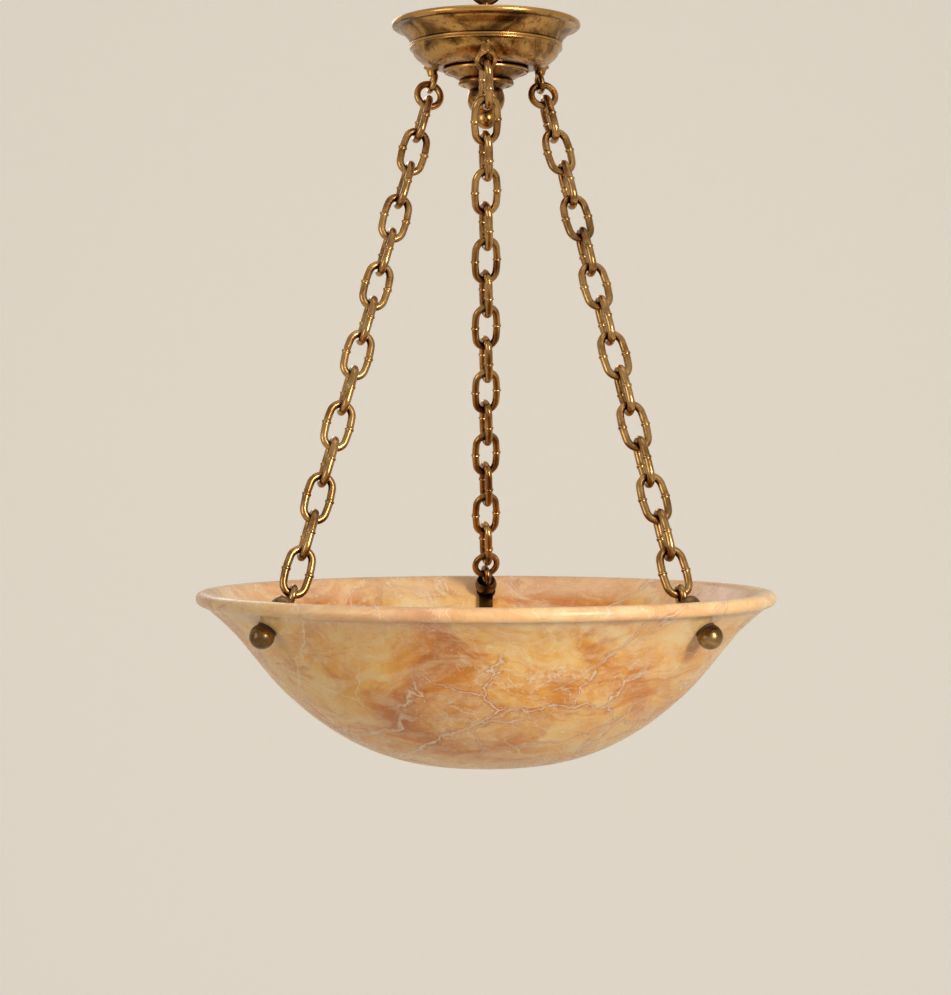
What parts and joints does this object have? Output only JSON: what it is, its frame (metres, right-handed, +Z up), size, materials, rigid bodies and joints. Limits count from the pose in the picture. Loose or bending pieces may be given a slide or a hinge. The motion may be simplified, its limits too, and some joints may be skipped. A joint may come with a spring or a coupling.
{
  "type": "bowl pendant light",
  "caption": "Shallow alabaster bowl uplighter hung by brass chains from a spun brass ceiling plate, with a lamp cluster inside the bowl.",
  "frame": {"origin": "the point inside the top link's upper bow where a ceiling hook carries the light", "axes": "+Z up along the light's axis, -Y towards the front of the light, +X to its right seen from the front"},
  "size_m": [0.4599, 0.46, 0.6851],
  "materials": {
    "alabaster": "polished",
    "brass": "antique, hand worn",
    "chain_brass": "antique satin",
    "aged_brass": "dark patina",
    "ceramic": "matt",
    "felt": "matt",
    "steel": "plated",
    "holder": "matt",
    "lamp_glass": "opal"
  },
  "bodies": {
    "top_link": {"top_link": "brass"},
    "swivel_link": {"swivel_link": "brass"},
    "light": {"bowl": "alabaster", "top_disc": "aged_brass", "rod_nut": "aged_brass", "centre_rod": "aged_brass", "top_eye": "brass", "canopy_shell": "brass", "canopy_neck": "brass", "finial": "brass", "lug_nuts": "aged_brass", "terminal_block": "ceramic", "inner_washers": "felt", "outer_washers": "felt", "hub_cup": "aged_brass", "hub_cover": "aged_brass", "hub_screws": "steel", "lug_left": "brass", "lug_right": "brass", "lug_front": "brass", "chain_left": "chain_brass", "ring_left": "chain_brass", "eye_bolt_left": "chain_brass", "collar_left": "aged_brass", "dome_nut_left": "aged_brass", "arm_left": "aged_brass", "chain_right": "chain_brass", "ring_right": "chain_brass", "eye_bolt_right": "chain_brass", "collar_right": "aged_brass", "dome_nut_right": "aged_brass", "arm_right": "aged_brass", "chain_back": "chain_brass", "ring_back": "chain_brass", "eye_bolt_back": "chain_brass", "collar_back": "aged_brass", "dome_nut_back": "aged_brass", "arm_back": "aged_brass", "lampholder_one": "holder", "lamp_cap_one": "steel", "lamp_globe_one": "lamp_glass", "lampholder_two": "holder", "lamp_cap_two": "steel", "lamp_globe_two": "lamp_glass", "lampholder_three": "holder", "lamp_cap_three": "steel", "lamp_globe_three": "lamp_glass"}
  },
  "joints": [
    {"name": "side_swing", "type": "hinge", "parent": "top_link", "child": "swivel_link", "pos_m": [0, 0, -0.0386], "axis": [0, 1, 0], "range_deg": [-15, 15]},
    {"name": "fore_swing", "type": "hinge", "parent": "swivel_link", "child": "light", "pos_m": [0, 0, -0.0744], "axis": [1, 0, 0], "range_deg": [-15, 15]}
  ]
}
